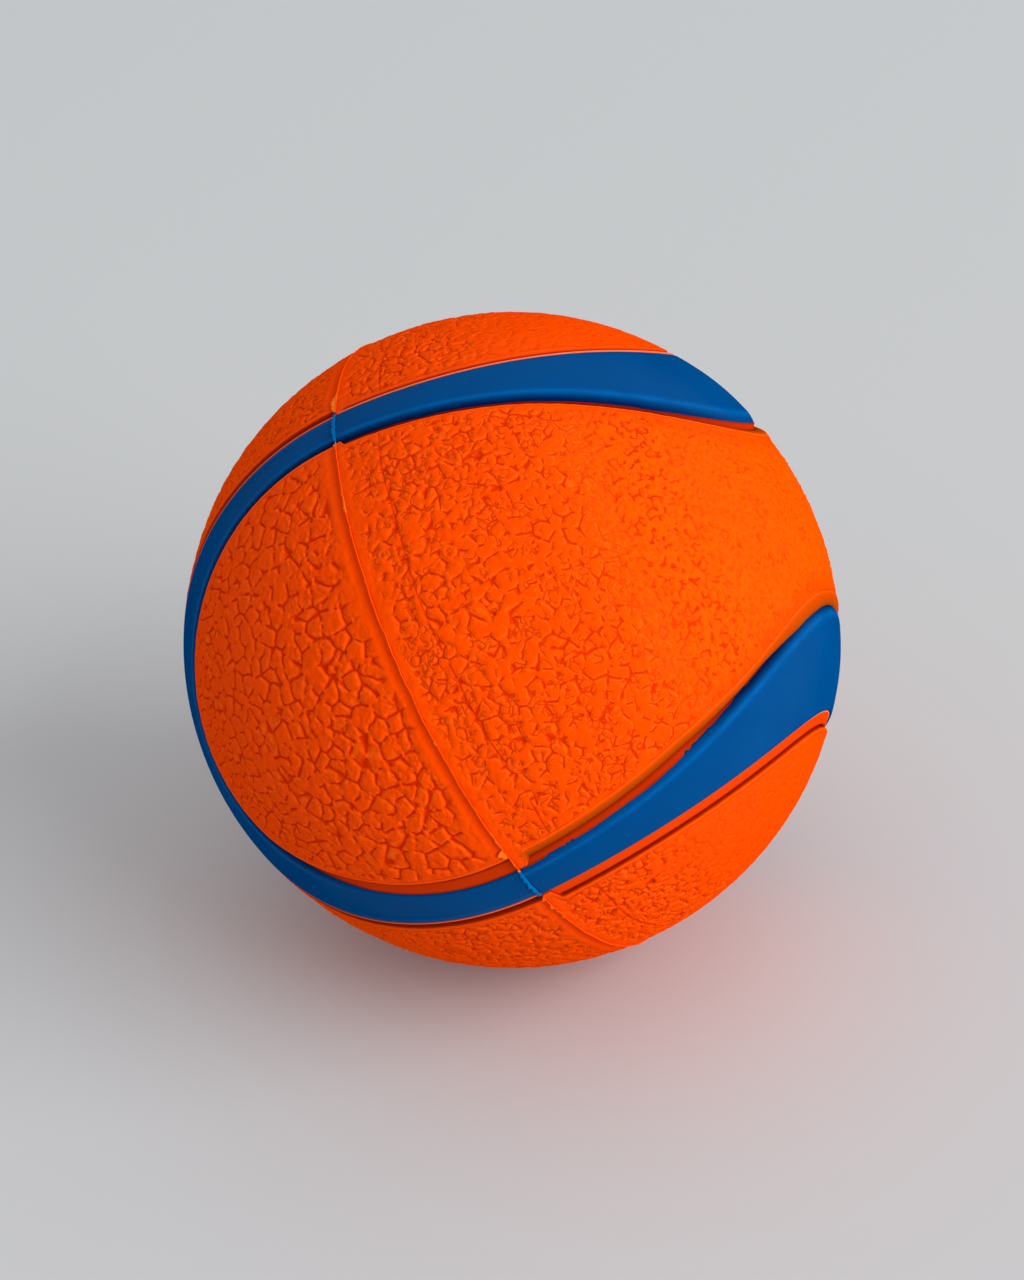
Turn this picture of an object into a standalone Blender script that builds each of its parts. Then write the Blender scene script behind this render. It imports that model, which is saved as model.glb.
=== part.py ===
"""Two-colour hollow rubber ball for fetch games.

Two equal half shells of orange rubber meet on a parting plane, where rubber cement joins them.
A blue band runs round the ball along the seam line of a tennis ball. It is laid as four equal
crescents, two in each half shell, which start and end on the parting plane. Each crescent sits
in a pocket with a raised lip, and a groove on either side keeps it apart from the panels. In
the front half the grooves stop short of the parting plane, at a rim wall of the shell.

The ball is modelled in its mould's frame: the origin is the ball's centre, +Z is the axis
along which the mould opens, and the parting plane is Z = 0. An empty then turns the whole ball
to the way it lies on a table, with +Z up.
"""

from math import atan2, cos, pi, radians, sin, sqrt

import bmesh
import bpy
from mathutils import Vector

MM = 0.001

# Driving dimensions of the ball
BALL_DIAMETER = 65.0 * MM
SHELL_WALL = 4.5 * MM
TOUCH_GAP = 0.3 * MM  # between pieces that touch

# The seam line, and the band's width on either side of it
POLE_TO_SEAM = 15.4 * MM  # along the surface, where the seam comes nearest to the mould's axis
BAND_WIDTH_AT_PARTING = 3.9 * MM
NECK_SIDE_AT_BEND = 5.8 * MM  # from the seam line to the border on the mould axis side
LOBE_SIDE_AT_BEND = 4.9 * MM  # from the seam line to the border on the other side
NECK_SIDE_EARLY_GROWTH = -0.37  # share of the growth that comes early on the way to the bend
LOBE_SIDE_EARLY_GROWTH = 2.04

# The channel that holds the band
GROOVE_WIDTH = 1.9 * MM  # from the band's border to the panel's full height
GROOVE_DEPTH = 1.1 * MM
BORDER_DEPTH = 0.45 * MM  # below the ball's surface, where blue meets orange
BAND_THICKNESS = 1.6 * MM
BAND_SHOULDER = 0.6 * MM  # how far in from its border the band's top is rounded
GROOVE_FLOOR = (0.42, 0.54)  # where the groove's flat floor lies, in shares of its width
PANEL_EDGE = ((0.68, 0.45), (0.88, 0.1), (1.25, -0.6))  # shares of the groove's width and depth
CUT_OVERRUN = 3.0 * MM  # how far cuts run on past the parting plane
RIM_WALL = 1.3 * MM  # left standing across the front half's grooves, beside the parting plane
POCKET_EASE = 0.05 * MM  # how much wider and deeper the pocket is where it passes the rim wall

# The joint on the parting plane
RIDGE_HEIGHT = 0.25 * MM  # moulding flash left standing along the joint
RIDGE_WIDTH = 0.7 * MM
REBATE_WIDTH = 1.4 * MM  # step inside each rim that holds the cement
REBATE_DEPTH = 0.5 * MM
CEMENT_BEAD = 0.3 * MM  # how far the cement swells into the cavity

# How the ball lies
MOULD_AXIS_ELEVATION = radians(25.9)
TURN_ABOUT_MOULD_AXIS = radians(101.4)

# Facets
SEGMENTS_ROUND = 60
RINGS_OUTSIDE = 15
RINGS_INSIDE = 8
STEPS_ALONG_BAND = 32

BALL_RADIUS = BALL_DIAMETER / 2
CAVITY_RADIUS = BALL_RADIUS - SHELL_WALL
RIM_HEIGHT = TOUCH_GAP / 2
REBATE_RADIUS = CAVITY_RADIUS + REBATE_WIDTH
SEAM_OVERTONE = (1 - sin(POLE_TO_SEAM / BALL_RADIUS)) / 2
SEAM_FUNDAMENTAL = 1 - SEAM_OVERTONE
SEAM_RISE = 2 * sqrt(SEAM_FUNDAMENTAL * SEAM_OVERTONE)


def clear_scene():
    for old in list(bpy.data.objects):
        bpy.data.objects.remove(old)


def rubber(name, colour, roughness):
    material = bpy.data.materials.new(name)
    material.use_nodes = True
    shader = material.node_tree.nodes["Principled BSDF"]
    shader.inputs["Base Color"].default_value = (*colour, 1.0)
    shader.inputs["Roughness"].default_value = roughness
    shader.inputs["Metallic"].default_value = 0.0
    return material


def add_object(name, mesh, parent, material=None):
    piece = bpy.data.objects.new(name, mesh)
    bpy.context.collection.objects.link(piece)
    piece.parent = parent
    if material and mesh and not mesh.materials:
        mesh.materials.append(material)
    return piece


def mesh_from(bm, name):
    """A smooth-shaded mesh with its faces pointing out; the bmesh is used up."""
    bmesh.ops.recalc_face_normals(bm, faces=bm.faces)
    mesh = bpy.data.meshes.new(name)
    bm.to_mesh(mesh)
    bm.free()
    mesh.shade_smooth()
    mesh.set_sharp_from_angle(angle=radians(30))
    return mesh


def arc(radius, start, end, steps):
    """Points (distance from the axis, height) of an arc about the centre, by angle from the axis."""
    angles = [start + (end - start) * i / steps for i in range(steps + 1)]
    return [(radius * sin(angle), radius * cos(angle)) for angle in angles]


def angle_at_height(radius, height):
    return atan2(sqrt(radius**2 - height**2), height)


def turned(profile, name):
    """A closed solid, turned about Z from a profile that is closed or ends on the axis."""
    bm = bmesh.new()
    verts = [bm.verts.new((distance, 0, height)) for distance, height in profile]
    on_axis = profile[0][0] == 0
    pairs = zip(verts, verts[1:]) if on_axis else zip(verts, verts[1:] + verts[:1])
    edges = [bm.edges.new(pair) for pair in pairs]
    bmesh.ops.spin(
        bm,
        geom=verts + edges,
        cent=(0, 0, 0),
        axis=(0, 0, 1),
        angle=2 * pi,
        steps=SEGMENTS_ROUND,
        use_merge=True,
    )
    bmesh.ops.remove_doubles(bm, verts=bm.verts, dist=0.001 * MM)
    return mesh_from(bm, name)


def half_shell_profile():
    """From the outer pole down to the ridge, across the rim and its rebate, and up the cavity."""
    ridge_foot = angle_at_height(BALL_RADIUS, RIM_HEIGHT + RIDGE_WIDTH / 2)
    rebate_top = RIM_HEIGHT + REBATE_DEPTH
    cavity_foot = angle_at_height(CAVITY_RADIUS, rebate_top)
    outside = arc(BALL_RADIUS, 0, ridge_foot, RINGS_OUTSIDE)
    rim = [
        (BALL_RADIUS + RIDGE_HEIGHT, RIM_HEIGHT),
        (REBATE_RADIUS, RIM_HEIGHT),
        (REBATE_RADIUS, rebate_top),
    ]
    inside = arc(CAVITY_RADIUS, cavity_foot, 0, RINGS_INSIDE)
    outside[0] = (0, BALL_RADIUS)
    inside[-1] = (0, CAVITY_RADIUS)
    return outside + rim + inside


def cement_profile():
    """A flat ring in the two rebates, swelling a little into the cavity."""
    half_height = RIM_HEIGHT + REBATE_DEPTH - TOUCH_GAP
    outer = REBATE_RADIUS - TOUCH_GAP
    bead = CAVITY_RADIUS - CEMENT_BEAD
    return [
        (outer, -half_height),
        (outer, half_height),
        (CAVITY_RADIUS, half_height),
        (bead, half_height / 2),
        (bead, -half_height / 2),
        (CAVITY_RADIUS, -half_height),
    ]


def seam_point(t):
    """A point of the tennis-ball seam on the unit sphere; t runs once round the ball in 2 pi."""
    return Vector(
        (
            SEAM_FUNDAMENTAL * cos(t) + SEAM_OVERTONE * cos(3 * t),
            SEAM_FUNDAMENTAL * sin(t) - SEAM_OVERTONE * sin(3 * t),
            SEAM_RISE * sin(2 * t),
        )
    )


def seam_side(t):
    """The unit vector square to the seam, towards the mould's axis on the upper half."""
    along = Vector(
        (
            -SEAM_FUNDAMENTAL * sin(t) - 3 * SEAM_OVERTONE * sin(3 * t),
            SEAM_FUNDAMENTAL * cos(t) - 3 * SEAM_OVERTONE * cos(3 * t),
            2 * SEAM_RISE * cos(2 * t),
        )
    )
    return seam_point(t).cross(along).normalized()


def half_width(t, at_bend, early_growth):
    """From the seam line to the band's border: narrow at the parting plane, wide at the bend."""
    at_parting = BAND_WIDTH_AT_PARTING / 2
    way = sin(2 * t) ** 2
    growth = early_growth * way + (1 - early_growth) * way**2
    return at_parting + (at_bend - at_parting) * growth


def lofted_along_seam(section):
    """Lofts a section along one crescent, from past the parting plane to past it again.

    section(width) gives one side's outline as (distance from the seam line, radius), from the
    bottom's middle to the top's middle, for the half width on that side.
    """
    bm = bmesh.new()
    rings = []
    overrun = CUT_OVERRUN / (2 * SEAM_RISE * BALL_RADIUS)
    for i in range(STEPS_ALONG_BAND + 1):
        t = -overrun + (pi / 2 + 2 * overrun) * i / STEPS_ALONG_BAND
        point, side = seam_point(t), seam_side(t)
        neck = section(half_width(t, NECK_SIDE_AT_BEND, NECK_SIDE_EARLY_GROWTH))
        lobe = section(half_width(t, LOBE_SIDE_AT_BEND, LOBE_SIDE_EARLY_GROWTH))
        outline = neck[:-1] + [(-offset, radius) for offset, radius in reversed(lobe)][:-1]
        ring = []
        for offset, radius in outline:
            angle = offset / BALL_RADIUS
            ring.append(bm.verts.new(radius * (cos(angle) * point + sin(angle) * side)))
        rings.append(ring)
    for ring, after in zip(rings, rings[1:]):
        for k in range(len(ring)):
            bm.faces.new((ring[k - 1], ring[k], after[k], after[k - 1]))
    bm.faces.new(rings[0])
    bm.faces.new(rings[-1])
    return bm


def channel_section(width):
    """Half of what is cut away: the band's pocket, its lip, the groove and the panel's round edge."""
    floor = BALL_RADIUS - BAND_THICKNESS - TOUCH_GAP
    lip = width + TOUCH_GAP / 2
    edge = [
        (width + across * GROOVE_WIDTH, BALL_RADIUS - down * GROOVE_DEPTH)
        for across, down in PANEL_EDGE
    ]
    return [
        (0, floor),
        (lip, floor),
        (lip, BALL_RADIUS - BORDER_DEPTH),
        *((width + share * GROOVE_WIDTH, BALL_RADIUS - GROOVE_DEPTH) for share in GROOVE_FLOOR),
        *edge,
        (0, edge[-1][1]),
    ]


def band_section(width):
    """Half of a crescent: a flat bottom, an upright side, a round shoulder and a crowned top."""
    bottom = BALL_RADIUS - BAND_THICKNESS
    side = width - TOUCH_GAP / 2
    return [
        (0, bottom),
        (side, bottom),
        (side, BALL_RADIUS - BORDER_DEPTH),
        (side - 0.3 * BAND_SHOULDER, BALL_RADIUS - 0.4 * BORDER_DEPTH),
        (side - BAND_SHOULDER, BALL_RADIUS - 0.1 * BORDER_DEPTH),
        (0.45 * side, BALL_RADIUS),
        (0, BALL_RADIUS),
    ]


def pocket_section(width):
    """Half of what is cut through the rim wall, which leaves room for the band alone."""
    floor = BALL_RADIUS - BAND_THICKNESS - TOUCH_GAP - POCKET_EASE
    side = width + TOUCH_GAP / 2 + POCKET_EASE
    top = BALL_RADIUS - PANEL_EDGE[-1][1] * GROOVE_DEPTH
    return [(0, floor), (side, floor), (side, top), (0, top)]


def trimmed(bm, height, away):
    """The loft cut flat at a height, without what lies away from it: above (1) or below (-1)."""
    cut = bmesh.ops.bisect_plane(
        bm,
        geom=bm.verts[:] + bm.edges[:] + bm.faces[:],
        plane_co=(0, 0, height),
        plane_no=(0, 0, away),
        clear_outer=True,
    )
    ends = [item for item in cut["geom_cut"] if isinstance(item, bmesh.types.BMEdge)]
    bmesh.ops.holes_fill(bm, edges=ends)
    return bm


def channel_cutters():
    """By half: the back's grooves run through to the parting plane, the front's stop short of it."""
    through = lofted_along_seam(channel_section)
    short = trimmed(lofted_along_seam(channel_section), RIM_WALL, -1)
    pocket_ends = trimmed(lofted_along_seam(pocket_section), RIM_WALL + TOUCH_GAP, 1)
    return {
        "front": [mesh_from(short, "short_channel"), mesh_from(pocket_ends, "pocket_ends")],
        "back": [mesh_from(through, "channel")],
    }


def crescent():
    """One blue inlay, ended flat just short of the parting plane."""
    return mesh_from(trimmed(lofted_along_seam(band_section), RIM_HEIGHT, -1), "crescent")


def main():
    clear_scene()
    orange = rubber("orange_rubber", (1.0, 0.09, 0.0), 0.5)
    blue = rubber("blue_rubber", (0.0, 0.08, 0.31), 0.4)
    cement = rubber("rubber_cement", (0.55, 0.3, 0.1), 0.6)

    ball = add_object("ball", None, None)
    ball.rotation_mode = "ZYX"
    ball.rotation_euler = (0, pi / 2 - MOULD_AXIS_ELEVATION, TURN_ABOUT_MOULD_AXIS)

    shell_mesh = turned(half_shell_profile(), "half_shell")
    cutter_meshes = channel_cutters()
    crescent_mesh = crescent()
    halves = (("front", 0, ("upper", "lower")), ("back", pi, ("far", "near")))
    for half, turn, places in halves:
        mould_half = add_object(half + "_mould_half", None, ball)
        mould_half.rotation_euler = (turn, 0, 0)
        shell = add_object(half + "_shell", shell_mesh, mould_half, orange)
        for place, turn_about_axis in zip(places, (0, pi)):
            for cutter_mesh in cutter_meshes[half]:
                cutter = add_object(f"{half}_{place}_{cutter_mesh.name}", cutter_mesh, mould_half)
                cutter.rotation_euler = (0, 0, turn_about_axis)
                cutter.hide_render = True
                cutter.display_type = "WIRE"
                cut = shell.modifiers.new(cutter.name, "BOOLEAN")
                cut.object = cutter
                cut.solver = "EXACT"
            inlay = add_object(f"inlay_{half}_{place}", crescent_mesh, mould_half, blue)
            inlay.rotation_euler = (0, 0, turn_about_axis)
    add_object("cement_ring", turned(cement_profile(), "cement_ring"), ball, cement)


main()
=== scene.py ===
from functools import partial, reduce
from math import cos, pi, radians, sin, sqrt

import bmesh
import bpy
import numpy as np
from mathutils import Matrix, Vector


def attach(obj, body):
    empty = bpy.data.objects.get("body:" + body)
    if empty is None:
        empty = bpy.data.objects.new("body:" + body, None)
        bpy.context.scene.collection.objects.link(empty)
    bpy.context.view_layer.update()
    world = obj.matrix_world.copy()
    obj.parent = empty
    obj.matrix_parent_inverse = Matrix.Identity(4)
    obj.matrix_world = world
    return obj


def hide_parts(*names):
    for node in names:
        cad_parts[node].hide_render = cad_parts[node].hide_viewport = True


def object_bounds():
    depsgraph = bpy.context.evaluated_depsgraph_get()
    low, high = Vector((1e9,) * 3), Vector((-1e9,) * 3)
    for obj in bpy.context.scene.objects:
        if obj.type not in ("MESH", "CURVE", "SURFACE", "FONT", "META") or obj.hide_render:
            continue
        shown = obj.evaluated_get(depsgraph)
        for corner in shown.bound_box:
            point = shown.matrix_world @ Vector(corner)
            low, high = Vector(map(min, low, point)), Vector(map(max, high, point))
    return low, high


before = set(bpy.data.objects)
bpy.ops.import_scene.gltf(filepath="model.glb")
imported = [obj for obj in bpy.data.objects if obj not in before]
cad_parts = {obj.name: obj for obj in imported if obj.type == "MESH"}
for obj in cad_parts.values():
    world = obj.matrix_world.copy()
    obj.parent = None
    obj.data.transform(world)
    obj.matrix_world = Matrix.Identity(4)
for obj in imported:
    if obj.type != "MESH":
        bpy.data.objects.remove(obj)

cad_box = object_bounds()


# The cement. It is a film of rubber solution, brushed into the rebates of the two rims before they
# are pressed together. What squeezes out sets inside the ball as a dull amber bead.
MM = 0.001
BRUSH_MARKS = 0.7 * MM
BRUSH_RELIEF = 0.1 * MM
THIN_CEMENT, THICK_CEMENT = "#9C6A34", "#B98548"


def rgb(hex_colour):
    """The linear colour, with alpha, of an sRGB hex value."""
    shares = [int(hex_colour[i : i + 2], 16) / 255 for i in (1, 3, 5)]
    linear = [s / 12.92 if s <= 0.04045 else ((s + 0.055) / 1.055) ** 2.4 for s in shares]
    return (*linear, 1.0)


def add(tree, kind, inputs=None, **settings):
    """Adds a node. Its inputs are values or other nodes' sockets, by socket name or number."""
    node = tree.nodes.new(kind)
    for name, value in settings.items():
        setattr(node, name, value)
    for key, value in (inputs or {}).items():
        if isinstance(value, bpy.types.NodeSocket):
            tree.links.new(value, node.inputs[key])
        else:
            node.inputs[key].default_value = value
    return node


def new_material(name):
    """A material with its node tree and the Principled shader in it."""
    material = bpy.data.materials.new(name)
    material.use_nodes = True
    return material, material.node_tree, material.node_tree.nodes["Principled BSDF"]


def mix(tree, share, colour, other):
    """A mix of two colours, which are hex values or sockets."""
    colours = [rgb(c) if isinstance(c, str) else c for c in (colour, other)]
    inputs = {0: share, 6: colours[0], 7: colours[1]}
    return add(tree, "ShaderNodeMix", inputs, data_type="RGBA").outputs[2]


def noise(tree, size, detail=2.0, place=None, output="Fac"):
    """A noise with patches of a size, in the unit of the place that it is read at."""
    if place is None:
        place = add(tree, "ShaderNodeTexCoord").outputs["Object"]
    inputs = {"Vector": place, "Scale": 1 / size, "Detail": detail}
    return add(tree, "ShaderNodeTexNoise", inputs).outputs[output]


def finish_surface(tree, shader, colour, roughness, height, relief, strength):
    """Sets a shader's colour and roughness, and the bump of a height that is scaled by a relief."""
    bump = add(tree, "ShaderNodeBump", {"Height": height, "Distance": relief, "Strength": strength})
    tree.links.new(bump.outputs["Normal"], shader.inputs["Normal"])
    tree.links.new(colour, shader.inputs["Base Color"])
    shader.inputs["Roughness"].default_value = roughness


# Brushed on and cured in air, the film is dull, with a streak where a bristle left it thin.
cured_cement, tree, shader = new_material("cured rubber cement, brushed on")
marks = noise(tree, BRUSH_MARKS)
shade = mix(tree, marks, THIN_CEMENT, THICK_CEMENT)
finish_surface(tree, shader, shade, 0.62, marks, BRUSH_RELIEF, 0.6)
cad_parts["cement_ring"].material_slots[0].material = cured_cement


# The walls of the two half shells, in natural rubber coloured right through. Each is compression
# moulded as a hollow half, and what shows of it is the skin that the next sections lay on it.
BALL_RADIUS = 32.5 * MM
CAVITY_RADIUS = 28.0 * MM
WALL_TOP = 2.1 * MM  # how far below the ball's surface the skin is rooted
RIM_GAP = 0.15 * MM  # half of the cement's film
WALL_ROUND = 96
WALL_STEPS, CAVITY_STEPS = 24, 20
POLE_FACET = 0.001  # radians from the pole to the wall's last points, so that they stay apart
MOULD_AXIS_ELEVATION = radians(25.9)
TURN_ABOUT_MOULD_AXIS = radians(101.4)
BLOOMED_ORANGE, ORANGE = "#F04000", "#FB4800"
ORANGE_SHEEN = "#FF7030"
CORNER_HIGHLIGHT_ORANGE = "#FC7E54"  # painted highlight on a lip's corner, where it catches the light
DEEP_ORANGE = "#841200"  # painted shade in the cracks and grooves, where only orange light arrives
RUBBER_ROUGHNESS = 0.5
SATIN_GLOSS = 0.07
GLOSS_ENDS = 0.7  # how far the surface may turn away before it has no gloss, 1 at the limb

MOULD = Matrix.Rotation(pi / 2 - MOULD_AXIS_ELEVATION, 3, "Y") @ Matrix.Rotation(
    TURN_ABOUT_MOULD_AXIS, 3, "Z"
)
HALF_TURNS = {"front": np.eye(3), "back": np.diag([1.0, -1.0, -1.0])}
TURN_OVER = np.diag([-1.0, -1.0, 1.0])  # half a turn about the mould's axis


def new_object(name, data):
    thing = bpy.data.objects.new(name, data)
    bpy.context.scene.collection.objects.link(thing)
    return thing


def solid(name, rows, half, material, marks=None):
    """A closed object from rows of points, each a loop, in the mould frame of one half."""
    count, around = rows.shape[:2]
    number = np.arange(count * around).reshape(count, around)
    number = np.hstack([number, number[:, :1]])
    quads = np.stack([number[:-1, :-1], number[1:, :-1], number[1:, 1:], number[:-1, 1:]], -1)
    ends = [number[0, :-1].tolist(), number[-1, -2::-1].tolist()]
    mesh = bpy.data.meshes.new(name)
    placed = rows.reshape(-1, 3) @ (np.array(MOULD) @ HALF_TURNS[half]).T
    mesh.from_pydata(placed, [], quads.reshape(-1, 4).tolist() + ends)
    mesh.shade_smooth()
    shape = bmesh.new()
    shape.from_mesh(mesh)
    if shape.calc_volume(signed=True) < 0:  # where the rows run the other way round
        mesh.flip_normals()
    shape.free()
    for name_of_mark, values in (marks or {}).items():
        kind, key = ("FLOAT_VECTOR", "vector") if values.ndim == 3 else ("FLOAT", "value")
        attribute = mesh.attributes.new(name_of_mark, kind, "POINT")
        attribute.data.foreach_set(key, np.ascontiguousarray(values, np.float32).ravel())
    mesh.materials.append(material)
    return new_object(name, mesh)


def arc(radius, start, end, steps):
    """Points of a half shell's section: the distance from the mould's axis, and the height."""
    angles = np.linspace(start, end, steps + 1)
    return np.stack([radius * np.sin(angles), radius * np.cos(angles)], -1)


def polar(radius, azimuth, height):
    """Points at a distance from the mould's axis, a turn about it, and a height."""
    across = radius * np.cos(azimuth), radius * np.sin(azimuth)
    return np.stack([*across, height + 0 * azimuth], -1)


def ramp(tree, value, start, end, low=0.0, high=1.0, shape="SMOOTHSTEP"):
    """A value's way from start to end, given as a number from low to high."""
    inputs = {"Value": value, 1: start, 2: end, 3: low, 4: high}
    node = add(tree, "ShaderNodeMapRange", inputs, interpolation_type=shape)
    return node.outputs["Result"]


def mark(tree, name, output="Fac"):
    """What a piece's points say under a name, read in its material."""
    return add(tree, "ShaderNodeAttribute", attribute_name=name).outputs[output]


def satin(tree, shader, tint):
    """A satin gloss that fades towards the limb, where a fine bloom scatters the room's light."""
    facing = add(tree, "ShaderNodeLayerWeight", {"Blend": 0.5}).outputs["Facing"]
    gloss = ramp(tree, facing, 0.0, GLOSS_ENDS, SATIN_GLOSS, 0.0)
    tree.links.new(gloss, shader.inputs["Specular IOR Level"])
    shader.inputs["Specular Tint"].default_value = rgb(tint)


# Pressed against plain steel, the rubber is an even satin orange with a faint bloom. A painted
# highlight makes it pale on a lip's corner, and painted shade makes it deep red where a groove
# shuts out the white light.
moulded_rubber, tree, shader = new_material("natural rubber, smooth moulded")
shade = mix(tree, noise(tree, 1.8 * MM, 3.0), BLOOMED_ORANGE, ORANGE)
shade = mix(tree, mark(tree, "deep"), shade, DEEP_ORANGE)
shade = mix(tree, mark(tree, "corner_highlight"), shade, CORNER_HIGHLIGHT_ORANGE)
finish_surface(tree, shader, shade, RUBBER_ROUGHNESS, noise(tree, 0.25 * MM), 0.03 * MM, 0.7)
satin(tree, shader, ORANGE_SHEEN)

rim_angle = pi / 2 - RIM_GAP / BALL_RADIUS
outside = arc(BALL_RADIUS - WALL_TOP, POLE_FACET, rim_angle, WALL_STEPS)
inside = arc(CAVITY_RADIUS, rim_angle, POLE_FACET, CAVITY_STEPS)
profile = np.concatenate([outside, inside])[:, None]
wall_azimuths = np.arange(WALL_ROUND) * 2 * pi / WALL_ROUND
wall_rows = polar(profile[..., 0], wall_azimuths, profile[..., 1])
for half in ("front", "back"):
    wall = solid(half + "_shell_wall", wall_rows, half, moulded_rubber)
    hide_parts(half + "_shell")
    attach(wall, "root")


# The channels, one for each crescent of the band. They are moulded into the shells: a pocket for
# the band, with a lip on either side that the blue overlaps, and the groove beside the panel. The
# mould's halves don't quite agree, so the grooves are wide on one side and narrow on another.
POLE_TO_SEAM = 15.4 * MM
BAND_AT_PARTING = 3.9 * MM
# On the neck side (1) and the lobe side (-1): the half width at the bend, and how soon it grows.
AT_BEND = {1: (5.8 * MM, -0.37), -1: (4.9 * MM, 2.04)}
GROOVE_DEPTH = 1.34 * MM
BAND_THICKNESS = 1.6 * MM
LIP_UNDER_BAND = 0.3 * MM
LIP_BEVEL = 0.05 * MM, 0.1 * MM  # along and down, on the lip's hidden corner
BOND_GAP = 0.05 * MM
CHANNEL_FOOT = 1.55 * MM, GROOVE_DEPTH + 0.1 * MM  # beside the band's border, and down
CHANNEL_ROOT = 1.7 * MM  # beside the band's border
ROOT_DEPTH = WALL_TOP + 0.2 * MM  # the skin's pieces reach a little way into the wall
CHANNEL_STEPS = 520
TIGHT_GROOVE = (
    (0.02, 0.8, 0, 1), (0.06, 0.84, 0, 1), (0.1, 0.9, 0, 1), (0.14, 0.97, 0, 1),
    (0.2, 1.05, 0, 1), (0.3, 1.1, 0, 1), (0.4, 1.15, 0, 1), (0.5, 1.2, 0, 1),
)
# Each kind of lip: the gap from blue to panel that it is drawn for, in mm, the panel's foot as a
# share of that gap (below 0 where the panel lies over the blue), how softly the panel's edge rolls
# over, from 0 to 1, and the lip's points. A point has the mm beside the band's border, the mm below
# the surface, the share of painted highlight on its corner, and the share of painted shade that
# deepens its colour.
LIPS = {
    "strip": (1.8, 0.88, 0, (
        (0.02, 0.40, 1, 0), (0.13, 0.43, 1, 0), (0.19, 0.45, 0, 0.1), (0.6, 0.46, 0, 0.16),
        (1.2, 0.49, 0, 0.16), (1.42, 0.53, 0, 0.4), (1.5, 0.8, 0, 1), (1.54, 1.2, 0, 1),
    )),
    "shaded strip": (1.8, 0.84, 0, (
        (0.02, 0.40, 0, 0.95), (0.09, 0.43, 0, 0.8), (0.15, 0.45, 0, 0.42), (0.6, 0.47, 0, 0.42),
        (1.1, 0.5, 0, 0.45), (1.3, 0.53, 0, 0.6), (1.42, 0.8, 0, 1), (1.47, 1.2, 0, 1),
    )),
    "slope": (2.1, 0.26, 0.75, (
        (0.02, 0.42, 0, 0.8), (0.09, 0.47, 0, 0.6), (0.15, 0.53, 0, 0.5), (0.32, 0.66, 0, 0.5),
        (0.5, 0.84, 0, 0.65), (0.62, 1.0, 0, 0.9), (0.74, 1.15, 0, 1), (0.92, 1.25, 0, 1),
    )),
    "ledge": (0.7, 0.5, 0, (
        (0.0, 0.29, 0.75, 0), (0.04, 0.3, 0.75, 0), (0.09, 0.43, 0, 0.7), (0.15, 0.66, 0, 0.9),
        (0.24, 0.88, 0, 1), (0.32, 1.05, 0, 1), (0.4, 1.15, 0, 1), (0.5, 1.2, 0, 1),
    )),
    "raised ledge": (0.8, 0.5, 0, (
        (0.0, 0.29, 0.75, 0), (0.01, 0.14, 0.75, 0), (0.08, 0.14, 0.75, 0), (0.12, 0.4, 0, 0.8),
        (0.2, 0.8, 0, 1), (0.3, 1.05, 0, 1), (0.4, 1.15, 0, 1), (0.5, 1.2, 0, 1),
    )),
    "drop": (1.0, 0.45, 0, (
        (0.02, 0.8, 0, 1), (0.06, 0.84, 0, 1), (0.12, 0.9, 0, 1), (0.2, 0.97, 0, 1),
        (0.32, 1.05, 0, 1), (0.45, 1.1, 0, 1), (0.6, 1.15, 0, 1), (0.8, 1.2, 0, 1),
    )),
    "roll": (1.2, 0.1, 1, TIGHT_GROOVE),
    "overlap": (1.2, -0.6, 1, TIGHT_GROOVE),
}
# Along each side of a crescent: the share of its length, the kind of lip there, and the gap in mm.
CRESCENT_SIDES = {
    ("front_upper", 1): (
        (0, "slope", 1.9), (0.5, "slope", 1.7), (0.66, "drop", 1.2), (0.8, "drop", 0.95),
    ),
    ("front_upper", -1): (
        (0, "raised ledge", 1.0), (0.5, "raised ledge", 0.95), (1, "raised ledge", 0.8),
    ),
    ("front_lower", 1): (
        (0, "slope", 2.0), (0.2, "slope", 1.95), (0.3, "roll", 1.2), (0.33, "roll", 1.1),
        (0.41, "overlap", 1.25), (0.46, "overlap", 1.2), (0.5, "overlap", 0.9),
        (0.6, "overlap", 1.1), (0.75, "slope", 1.7), (1, "slope", 1.9),
    ),
    ("front_lower", -1): ((0, "strip", 1.8),),
    ("back_far", 1): ((0, "ledge", 1.1),),
    ("back_far", -1): ((0, "ledge", 1.0),),
    ("back_near", 1): ((0, "ledge", 0.9), (1, "ledge", 1.0)),
    ("back_near", -1): (
        (0, "shaded strip", 2.0), (0.18, "shaded strip", 1.7), (0.34, "drop", 0.8),
        (0.6, "drop", 0.6), (1, "drop", 0.7),
    ),
}
CRESCENTS = {
    "front_upper": ("front", np.eye(3)),
    "front_lower": ("front", TURN_OVER),
    "back_far": ("back", np.eye(3)),
    "back_near": ("back", TURN_OVER),
}

seam_third = (1 - sin(POLE_TO_SEAM / BALL_RADIUS)) / 2
seam_first = 1 - seam_third
seam_rise = 2 * sqrt(seam_first * seam_third)


def unit(vectors):
    return vectors / np.linalg.norm(vectors, axis=-1, keepdims=True)


def seam(t):
    """Points of the tennis-ball seam on a unit sphere, and its unit sideways vectors there."""
    point = [
        seam_first * np.cos(t) + seam_third * np.cos(3 * t),
        seam_first * np.sin(t) - seam_third * np.sin(3 * t),
        seam_rise * np.sin(2 * t),
    ]
    along = [
        -seam_first * np.sin(t) - 3 * seam_third * np.sin(3 * t),
        seam_first * np.cos(t) - 3 * seam_third * np.cos(3 * t),
        2 * seam_rise * np.cos(2 * t),
    ]
    point, along = np.stack(point, -1), np.stack(along, -1)
    return point, unit(np.cross(point, along))


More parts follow.
